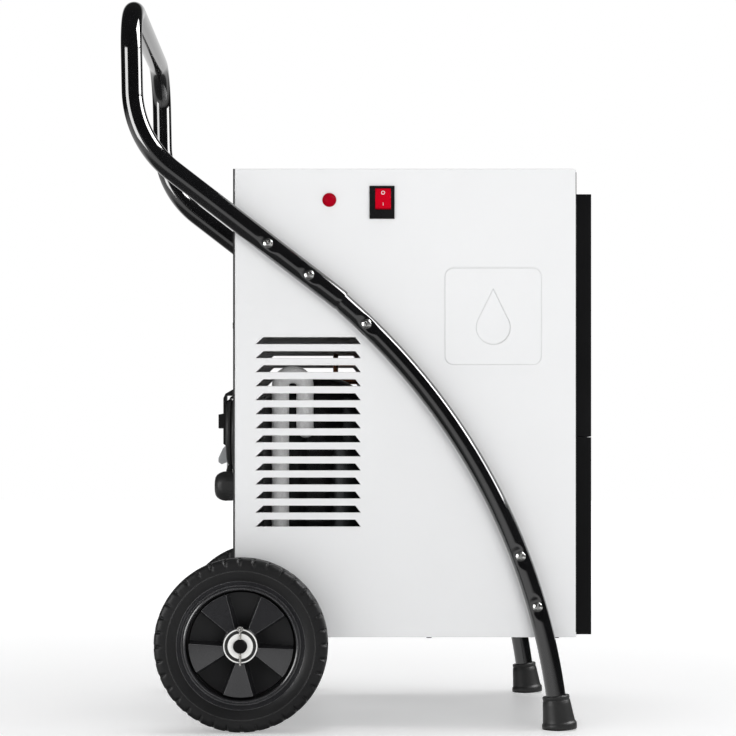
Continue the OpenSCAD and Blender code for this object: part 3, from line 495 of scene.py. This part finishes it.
# half heights of the outermost lap, the innermost lap and a middle one
OUTER_LAP = 0.042
INNER_LAP = 0.021
FOLD = math.pi * 0.0315
LAP_LENGTH = 4 * HALF + 2 * FOLD
# bend where the cord joins and leaves the winding
BEND = 0.021


def lap(t):
    """A point of the winding t turns after the middle of its lowest run."""
    radius = OUTER_LAP - CORD_D * t if t <= LAYER else INNER_LAP + CORD_D * (t - LAYER)
    step = min(1.0, max(0.0, (t - LAYER) / 0.3))
    x = LAYER_X - CORD_D * (3 * step * step - 2 * step ** 3)
    s = (t - math.floor(t)) * LAP_LENGTH
    if s < HALF:
        y = -s
        z = -radius
    elif s < HALF + FOLD:
        a = (s - HALF) / FOLD * math.pi
        y = -HALF - radius * math.sin(a)
        z = -radius * math.cos(a)
    elif s < 3 * HALF + FOLD:
        y = -2 * HALF + s - FOLD
        z = radius
    elif s < 3 * HALF + 2 * FOLD:
        a = (s - 3 * HALF - FOLD) / FOLD * math.pi
        y = HALF + radius * math.sin(a)
        z = radius * math.cos(a)
    else:
        y = LAP_LENGTH - s
        z = -radius
    return Vector((x, y, HANK_Z + z))


def cord_route():
    """Up from the gland, six laps in two layers on the hooks, and down to the plug."""
    points = [EXIT.copy(), EXIT + Vector((0, 0, 0.006))]
    low_z = HANK_Z - OUTER_LAP
    steps = 9
    for i in range(1, steps):
        a = math.pi / 2 * i / steps
        x = EXIT.x + (LAYER_X - EXIT.x) * (i / steps)
        points.append(Vector((x, EXIT.y - BEND * (1 - math.cos(a)), low_z - BEND * (1 - math.sin(a)))))
    start = 0.019
    leave = 0.021
    length = start + 2 * LAYER * LAP_LENGTH + leave
    count = 300
    for i in range(count + 1):
        s = length * i / count - start
        points.append(lap(s / LAP_LENGTH) if s >= 0 else lap(0.0) - Vector((0, s, 0)))
    last = points[-1].copy()
    for i in range(1, steps + 1):
        a = math.pi / 2 * i / steps
        points.append(last - Vector((0, BEND * math.sin(a), BEND * (1 - math.cos(a)))))
    end = points[-1].copy()
    points.append(end - Vector((0, 0, 0.003)))
    points.append(end - Vector((0, 0, 0.006)))
    return points


route = cord_route()
mains_cord = tube("mains_cord", route, CORD_R, M["cord_rubber"])
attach(mains_cord, "chassis")
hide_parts("cord_lead", "cord_hank")

PLUG = Vector((-0.144, -0.042, 0.281))


def plug():
    """Angled plug parked with its pins in the rear panel; local Z points away from the panel."""
    turn = Matrix.Translation(PLUG) @ Matrix.Rotation(math.radians(-90), 4, "Y")
    body = [(0.0001, 0.0004), (0.0150, 0.0004), (0.0166, 0.0010), (0.0177, 0.0024), (0.0182, 0.0060),
            (0.0178, 0.0072), (0.0179, 0.0080), (0.0185, 0.0092), (0.0185, 0.0165), (0.0179, 0.0205),
            (0.0165, 0.0243), (0.0143, 0.0275), (0.0112, 0.0296), (0.0070, 0.0305), (0.0001, 0.0306)]
    ribs = 48

    def grip(i, k, r, h):
        """Finger ribs round the straight part of the body, and flats with slots at two sides."""
        a = 2 * math.pi * i / (ribs * 4)
        if 7 <= k <= 8 and i % 4 < 2:
            r -= 0.0006
        flat = 0.0172 / max(abs(math.sin(a)), 0.2)
        if r > flat:
            r = flat
        if h < 0.013 and abs(math.cos(a)) > 0.985 and r > 0.012:
            r -= 0.0022
        return r, h

    parts = [lathe("plug_body", body, turn, M["rubber_black"], ribs * 4, grip, 40)]
    neck = [(0.0001, 0.0), (0.0132, 0.0), (0.0130, 0.0050), (0.0112, 0.0090), (0.0090, 0.0112),
            (0.0001, 0.0116)]
    place = Matrix.Translation((route[-1].x, PLUG.y, PLUG.z + 0.0066))
    parts.append(lathe("neck", neck, place, M["rubber_black"], 40))
    back = list(reversed(route))[2:11]
    path = [a.lerp(b, k / 4) for a, b in zip(back, back[1:]) for k in range(4)]
    last = len(path) - 1
    rings = [(i, 0.0079 - 0.0036 * i / last + (0.0003 if i % 4 < 2 else -0.0002))
             for i in range(last + 1)]
    parts.append(swept("relief", path, rings, M["rubber_black"], 0.0079, segments=40))
    for side in (-1, 1):
        pin = [(0.0001, -0.0185), (0.0014, -0.0184), (0.0021, -0.0175), (0.0024, -0.0160),
               (0.0024, 0.0010)]
        parts.append(lathe("pin", pin, turn @ Matrix.Translation((0, side * 0.0095, 0)),
                           M["zinc_fixings"], 28))
    return joined("mains_plug", parts)


mains_plug = plug()
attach(mains_plug, "chassis")
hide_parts("cord_plug")

# ------------------------------------------------------------------ handle and legs
def handle():
    """One bent tube, open at both ends, with a flat pressed in at each screw."""
    corners = [side_point(JOINT, -1), side_point(LOWER_BEND, -1), side_point(UPPER_BEND, -1),
               side_point(UPPER_BEND, 1), side_point(LOWER_BEND, 1), side_point(JOINT, 1)]
    path = rounded_path(corners, [LOWER_BEND_R, UPPER_BEND_R, UPPER_BEND_R, LOWER_BEND_R])
    last = len(path) - 1
    bore = SPIGOT_R + 0.0003
    rings = [(8, bore), (0, bore), (0, HANDLE_R - 0.0005), (1, HANDLE_R)]
    rings += [(i, HANDLE_R) for i in range(2, last - 1)]
    rings += [(last - 1, HANDLE_R), (last, HANDLE_R - 0.0005), (last, bore), (last - 8, bore)]
    seats = [(x, z, 0.0109, 0.020) for x, z in HANDLE_SCREWS]
    obj = swept("handle_bar", path, rings, M["black_tube"], HANDLE_R, seats)
    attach(obj, "chassis")
    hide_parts("handle_tube")


def leg(s, name, node):
    """One curved tube with a thinner spigot at the top that goes into the handle."""
    count = 230
    path = []
    for i in range(count + 1):
        a = ARC_START + ARC_SWEEP * i / count
        path.append(Vector((ARC_X + ARC_R * math.cos(a), s * TUBE_Y, ARC_Z + ARC_R * math.sin(a))))
    inward = (side_point(LOWER_BEND, s) - side_point(JOINT, s)).normalized()
    for k in range(1, 6):
        path.append(side_point(JOINT, s) + inward * 0.0030 * k)
    rings = [(i, LEG_R) for i in range(count - 1)]
    rings += [(i, SPIGOT_R) for i in range(count + 1, len(path))]
    seats = [(x, z, 0.0094, 0.020) for x, z in LEG_SCREWS]
    obj = swept(name, path, rings, M["black_tube"], LEG_R, seats)
    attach(obj, "chassis")
    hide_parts(node)


handle()
leg(-1, "leg_bar_right", "leg_tube_right")
leg(1, "leg_bar_left", "leg_tube_left")

# ------------------------------------------------------------------ wheels
AXLE_X = -0.133
WHEEL_R = 0.100
WHEEL_Y = 0.224


def wheel_frame(s):
    """Local Z points outwards from the machine, local Y up."""
    turn = Matrix.Rotation(math.radians(90 if s < 0 else -90), 4, "X")
    return Matrix.Translation((AXLE_X, s * WHEEL_Y, WHEEL_R)) @ turn


def tyre(s, name, node, body):
    """Solid tyre with a bead line, a thin moulded line on each side and lugs at the tread."""
    half = [(0.0738, 0.0190), (0.0752, 0.0197), (0.0790, 0.0210), (0.0835, 0.0217), (0.0846, 0.0219),
            (0.0851, 0.0213), (0.0856, 0.0219), (0.0896, 0.0218), (0.0925, 0.0217), (0.0950, 0.0211),
            (0.0972, 0.0200), (0.0988, 0.0180), (0.0996, 0.0150), (0.0998, 0.0120), (0.0999, 0.0085),
            (0.0999, 0.0070), (0.0999, 0.0032), (0.0985, 0.0028), (0.0985, 0.0004)]
    profile = half + [(r, -h) for r, h in reversed(half)]
    rows = len(half)
    lugs = 36
    steps = 12

    def shape(i, k, r, h):
        """Notches between the lugs; the inner side's lie half a lug further round."""
        row = k if k < rows else 2 * rows - 1 - k
        phase = (i if k < rows else i + steps // 2) % steps
        if 8 <= row <= 14 and phase <= 2:
            depth = 0.0012 if row == 8 else 0.0030 if row == 9 else 0.0024
            if phase != 1:
                depth *= 0.35
            if row >= 12:
                r -= depth
            else:
                h -= math.copysign(depth * 0.8, h)
                r -= depth * 0.5
        return r, h

    obj = lathe(name, profile, wheel_frame(s), M["tyre_rubber"], lugs * steps, shape, 28)
    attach(obj, body)
    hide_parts(node)


tyre(-1, "tyre_tread_right", "tyre_right", "wheel_right")
tyre(1, "tyre_tread_left", "tyre_left", "wheel_left")

SECTORS = 10
HUB_R = 0.0200
# heights of the raised and the recessed sectors at the hub, and of the web's back
HIGH = 0.0165
LOW = -0.0095
BACK = -0.0150


def rim(s, name, node, body):
    """Nylon rim: a hub, ten sectors that lie high and low by turns, and a lipped outer ring."""
    place = wheel_frame(s)
    ring = [(0.0632, -0.0170), (0.0632, 0.0132), (0.0637, 0.0149), (0.0649, 0.0157), (0.0661, 0.0151),
            (0.0666, 0.0137), (0.0674, 0.0126), (0.0684, 0.0124), (0.0693, 0.0131), (0.0713, 0.0152),
            (0.0732, 0.0176), (0.0738, 0.0181), (0.0738, -0.0170), (0.0730, -0.0184),
            (0.0660, -0.0180), (0.0632, -0.0170)]
    hub = [(0.0082, 0.0234), (0.0193, 0.0234), (HUB_R, 0.0228), (HUB_R, -0.0215), (0.0193, -0.0220),
           (0.0082, -0.0220), (0.0082, 0.0234)]
    parts = [lathe("ring", ring, place, M["rim_plastic"], 144, None, 30),
             lathe("hub", hub, place, M["rim_plastic"], 72, None, 30)]
    slope = 0.15
    draft = 0.0034
    columns = []
    for b in range(SECTORS):
        edge = math.radians(-3 + 36 * b)
        before, after = (HIGH, LOW) if b % 2 == 0 else (LOW, HIGH)
        columns.append((edge, -draft / 2, before))
        columns.append((edge, draft / 2, after))
        for k in range(1, 6):
            columns.append((edge + math.radians(6 * k), 0.0, after))
    radii = [0.0196, 0.0215, 0.028, 0.036, 0.044, 0.052, 0.0600, 0.0614, 0.0636]
    verts = []
    faces = []
    rows = len(radii) + 1
    for angle, shift, height in columns:
        for k, r in enumerate(radii):
            a = angle + shift / r
            lean = slope * (r - radii[0])
            h = height - lean if height == HIGH else height + lean
            if k == 0:
                h += 0.0012
            if k >= len(radii) - 2:
                h = LOW - 0.0015
            verts.append(place @ Vector((r * math.cos(a), r * math.sin(a), h)))
        verts.append(place @ Vector((radii[-1] * math.cos(angle), radii[-1] * math.sin(angle), BACK)))
    count = len(columns)
    for i in range(count):
        j = (i + 1) % count
        for k in range(rows - 1):
            faces.append((i * rows + k, j * rows + k, j * rows + k + 1, i * rows + k + 1))
    inner = len(verts)
    for angle, shift, height in columns:
        verts.append(place @ Vector((radii[0] * math.cos(angle), radii[0] * math.sin(angle), BACK)))
    for i in range(count):
        j = (i + 1) % count
        faces.append((inner + i, inner + j, j * rows, i * rows))
        faces.append((i * rows + rows - 1, j * rows + rows - 1, inner + j, inner + i))
    parts.append(add_mesh("web", verts, faces, M["rim_plastic"], 25))
    obj = joined(name, parts)
    # the recessed sectors' floors take the darker copy: painted shade in the pockets
    obj.data.materials.append(M["rim_painted_recess_shade"])
    outwards = place.inverted()
    for face in obj.data.polygons:
        v = outwards @ face.center
        if v.z < -0.003 and HUB_R < v.xy.length < radii[-1]:
            face.material_index = 1
    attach(obj, body)
    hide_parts(node)


rim(-1, "rim_web_right", "rim_right", "wheel_right")
rim(1, "rim_web_left", "rim_left", "wheel_left")


def hub_seals():
    """Black rings that lie in the washers between the thin white lip and the white collar."""
    profile = [(0.0145, 0.0251), (0.0145, 0.0256), (0.0149, 0.0259), (0.0176, 0.0259),
               (0.0180, 0.0256), (0.0180, 0.0251), (0.0145, 0.0251)]
    parts = [lathe("seal", profile, wheel_frame(s), M["rubber_black"], 96) for s in (-1, 1)]
    obj = joined("hub_seals", parts)
    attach(obj, "chassis")


hub_seals()


def add_trims_and_seam_shadows():
    """Thin black strips over the housing's rear corners, and black strips in the seams of its front
    corners that are painted shadow in the seam gaps.
    """
    low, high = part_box("rear_panel")
    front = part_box("front_frame")[1].x
    parts = []
    for s in (-1, 1):
        y = sorted((s * (high[1] + 0.0007), s * (high[1] - 0.0012)))
        parts.append(block("trim", (low[0] - 0.0003, y[0], low[2]), (high[0] + 0.0002, y[1], high[2]),
                           M["rubber_black"], 0.0003, 2))
        # painted shade: black strips in the front seams stand for the shadow in the gap between side
        # panel and front cover
        y = sorted((s * (high[1] + 0.0002), s * (high[1] - 0.0012)))
        parts.append(block("painted_seam_shadow", (front - 0.0006, y[0], low[2]), (front + 0.0003, y[1], 0.6480),
                           M["rubber_black"], 0.0002, 2))
    obj = joined("trims_and_seam_shadows", parts)
    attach(obj, "chassis")


add_trims_and_seam_shadows()


def riser():
    """Foam sleeve on the suction line, up from the base and over to the compressor."""
    corners = [Vector((-0.090, -0.155, 0.1460)), Vector((-0.090, -0.155, 0.4135)),
               Vector((-0.061, -0.155, 0.4135)), Vector((-0.061, -0.155, 0.3500)),
               Vector((-0.061, -0.094, 0.3500))]
    path = rounded_path(corners, [0.013, 0.013, 0.014], 0.002)
    last = len(path) - 1
    outer = 0.0102
    rings = [(0, 0.0034), (0, outer - 0.0004)] + [(i, outer) for i in range(1, last)]
    rings += [(last, outer - 0.0004), (last, 0.0034)]
    obj = swept("riser_sleeve", path, rings, M["foam_grey"], outer, segments=40)
    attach(obj, "chassis")


riser()

# ------------------------------------------------------------------ feet
FOOT_X = 0.2355
# height below which a tilted foot is pressed level with the floor
TREAD = 0.003


def boot(s, name):
    """Flared rubber boot with a lip at the top, a waist and a tread ring at the floor."""
    tilt = math.radians(-7)
    place = Matrix.Translation((FOOT_X, s * TUBE_Y, 0)) @ Matrix.Rotation(tilt, 4, "Y")
    profile = [(0.0001, 0.000), (0.0160, 0.000), (0.0165, 0.0015), (0.0190, 0.0015), (0.0198, 0.0006),
               (0.0203, 0.0020), (0.0203, 0.0060), (0.0198, 0.0078), (0.0190, 0.0086),
               (0.0186, 0.0100), (0.0180, 0.0150), (0.0172, 0.0220), (0.0165, 0.0290),
               (0.0159, 0.0335), (0.0154, 0.0342), (0.0153, 0.0352), (0.0157, 0.0358),
               (0.0157, 0.0385), (0.0152, 0.0392), (0.0128, 0.0396), (0.0119, 0.0390),
               (0.0117, 0.0340)]
    obj = lathe(name, profile, place, M["rubber_black"], 72)
    for v in obj.data.vertices:
        if v.co.z < TREAD:
            v.co.z = max(0.0, v.co.z) * 0.6
    return obj


boots = [boot(-1, "foot_boot_right"), boot(1, "foot_boot_left")]
feet = joined("foot_boots", boots)
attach(feet, "chassis")
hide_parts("feet")

# ------------------------------------------------------------------ switch marks, lamp bezel, window
ring_place = Matrix.Translation((0.0307, -0.19165, 0.6240)) @ Matrix.Rotation(math.radians(97), 4, "X")
ring = lathe("mark_o", [(0.0016, 0.0), (0.0016, 0.0002), (0.0022, 0.0002), (0.0022, 0.0)], ring_place,
             M["mark_white"], 32)
bar = block("mark_i", (-0.00025, -0.0001, -0.0019), (0.00025, 0.0001, 0.0019), M["mark_white"],
            0.00004, 1)
bar_lean = Matrix.Rotation(math.radians(-14.7), 4, "X")
bar.matrix_world = Matrix.Translation((0.0307, -0.1940, 0.6105)) @ bar_lean
marks = joined("rocker_marks", [ring, bar])
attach(marks, "rocker")

lamp_place = Matrix.Translation((-0.032, -0.190, 0.6157)) @ Matrix.Rotation(math.radians(90), 4, "X")
bezel = lathe("lamp_bezel", [(0.0071, 0.0), (0.0071, 0.0014), (0.0074, 0.0018), (0.0079, 0.0016),
                             (0.0082, 0.0)], lamp_place, M["lamp_red"], 64)
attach(bezel, "chassis")

window = block("tank_level_window", (0.2722, -0.0134, 0.1506), (0.2734, 0.0134, 0.2614),
               M["window"], 0.0003, 2)
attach(window, "tank")


# ------------------------------------------------------------------ dense coil fins
FINS = 139
FIN_PITCH = 0.0020
FIN_DEPTH = 0.0378
FIN_T = 0.00012
FIN_Z = (0.3525, 0.6155)


def fin_pack(name, x0):
    """Thin upright fins, side by side across the coil."""
    verts = []
    faces = []
    for i in range(FINS):
        y0 = FIN_PITCH * i - 0.1378
        base = len(verts)
        for x, y in ((x0, y0), (x0 + FIN_DEPTH, y0), (x0 + FIN_DEPTH, y0 + FIN_T), (x0, y0 + FIN_T)):
            for z in FIN_Z:
                verts.append((x, y, z))
        for k in range(4):
            a = base + 2 * k
            b = base + 2 * ((k + 1) % 4)
            faces.append((a, b, b + 1, a + 1))
        faces.append((base, base + 2, base + 4, base + 6))
        faces.append((base + 7, base + 5, base + 3, base + 1))
    obj = add_mesh(name, verts, faces, M["fin_aluminium"])
    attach(obj, "chassis")


fin_pack("evaporator_fin_pack", 0.2051)
fin_pack("condenser_fin_pack", 0.1481)

# ------------------------------------------------------------------ stage and light
# the floor glows more towards the room, so that it meets the white backdrop without a line
floor_material = material("studio_floor", (0.76, 0.76, 0.765), rough=0.45, grain=60, bump=0.01, vary=0.01)
floor_shader = floor_material.node_tree.nodes["Principled BSDF"]
floor_shader.inputs["Emission Color"].default_value = (1, 1, 1, 1)
floor_tree = floor_material.node_tree
floor_place = floor_tree.nodes.new("ShaderNodeTexCoord")
floor_reach = floor_tree.nodes.new("ShaderNodeVectorMath")
floor_reach.operation = "LENGTH"
floor_tree.links.new(floor_place.outputs["Object"], floor_reach.inputs[0])
floor_glow = floor_tree.nodes.new("ShaderNodeMapRange")
floor_glow.inputs["From Min"].default_value = 0.6
floor_glow.inputs["From Max"].default_value = 3.0
floor_glow.inputs["To Min"].default_value = 0.36
floor_glow.inputs["To Max"].default_value = 0.95
floor_tree.links.new(floor_reach.outputs["Value"], floor_glow.inputs["Value"])
floor_tree.links.new(floor_glow.outputs["Result"], floor_shader.inputs["Emission Strength"])
bpy.ops.mesh.primitive_plane_add(size=40, location=(0, 0, 0))
floor = bpy.context.object
floor.name = "studio_floor"
floor.data.materials.append(floor_material)
floor.visible_glossy = False


def studio_world(backdrop, ambient, gloss):
    """White backdrop; gloss mirrors it behind the machine, a pale table below and a dark room."""
    world = bpy.data.worlds.new("studio")
    bpy.context.scene.world = world
    world.use_nodes = True
    t = world.node_tree
    background = t.nodes["Background"]
    path = t.nodes.new("ShaderNodeLightPath")
    seen = t.nodes.new("ShaderNodeMix")
    seen.inputs[2].default_value = ambient
    seen.inputs[3].default_value = backdrop
    t.links.new(path.outputs["Is Camera Ray"], seen.inputs["Factor"])
    heading = t.nodes.new("ShaderNodeTexCoord")
    split = t.nodes.new("ShaderNodeSeparateXYZ")
    t.links.new(heading.outputs["Generated"], split.inputs["Vector"])
    behind = t.nodes.new("ShaderNodeMapRange")
    behind.inputs["From Min"].default_value = 0.80
    behind.inputs["From Max"].default_value = 0.93
    behind.inputs["To Max"].default_value = backdrop * 0.7
    t.links.new(split.outputs["Y"], behind.inputs["Value"])
    rise = t.nodes.new("ShaderNodeMapRange")
    rise.inputs["From Min"].default_value = -1.0
    t.links.new(split.outputs["Z"], rise.inputs["Value"])
    table = t.nodes.new("ShaderNodeValToRGB")
    stops = table.color_ramp.elements
    stops[0].position = 0.10
    stops[0].color = (0.08, 0.08, 0.08, 1)
    stops[1].position = 0.25
    stops[1].color = (0.12, 0.12, 0.12, 1)
    for position, value in ((0.31, 0.75), (0.42, 0.75), (0.48, 0.30), (0.50, gloss)):
        stop = stops.new(position)
        stop.color = (value, value, value, 1)
    t.links.new(rise.outputs["Result"], table.inputs["Fac"])
    brighter = t.nodes.new("ShaderNodeMath")
    brighter.operation = "MAXIMUM"
    t.links.new(behind.outputs["Result"], brighter.inputs[0])
    t.links.new(table.outputs["Color"], brighter.inputs[1])
    mirrored = t.nodes.new("ShaderNodeMix")
    t.links.new(path.outputs["Is Glossy Ray"], mirrored.inputs["Factor"])
    t.links.new(seen.outputs[0], mirrored.inputs[2])
    t.links.new(brighter.outputs["Value"], mirrored.inputs[3])
    background.inputs["Color"].default_value = (1, 1, 1, 1)
    t.links.new(mirrored.outputs[0], background.inputs["Strength"])


studio_world(1.0, 0.24, 0.02)


def area(name, place, target, size, power, size_y=None, mirrored=True, lights=True):
    """A softbox; it may be left out of what gloss mirrors, or only be there for gloss."""
    data = bpy.data.lights.new(name, "AREA")
    data.energy = power
    data.size = size
    if size_y:
        data.shape = "RECTANGLE"
        data.size_y = size_y
    obj = bpy.data.objects.new(name, data)
    bpy.context.scene.collection.objects.link(obj)
    obj.location = place
    obj.rotation_euler = (Vector(target) - Vector(place)).to_track_quat("-Z", "Y").to_euler()
    obj.visible_glossy = mirrored
    obj.visible_diffuse = lights


area("left_box", (-1.88, -1.38, 0.70), (-0.1, -0.2, 0.6), 1.05, 28, size_y=1.1, lights=False)
area("left_fill", (-1.3, -1.9, 0.90), (-0.05, -0.2, 0.4), 1.6, 8.5, mirrored=False)
area("right_box", (1.72, 0.0, 1.12), (0, -0.1, 0.6), 1.1, 11, size_y=0.33, lights=False)
area("upper_right_box", (1.45, -0.05, 1.75), (0, -0.2, 0.4), 1.1, 62, size_y=1.1, lights=False)
area("top_box", (0.3, 0.1, 2.6), (0, 0, 0.3), 1.8, 40, mirrored=False)
area("front_fill", (0.9, -2.5, 0.60), (0.1, 0, 0.30), 1.5, 25, mirrored=False)

# ------------------------------------------------------------------ finish
for name, obj in nodes.items():
    if not obj.hide_render:
        smooth(obj, 30)
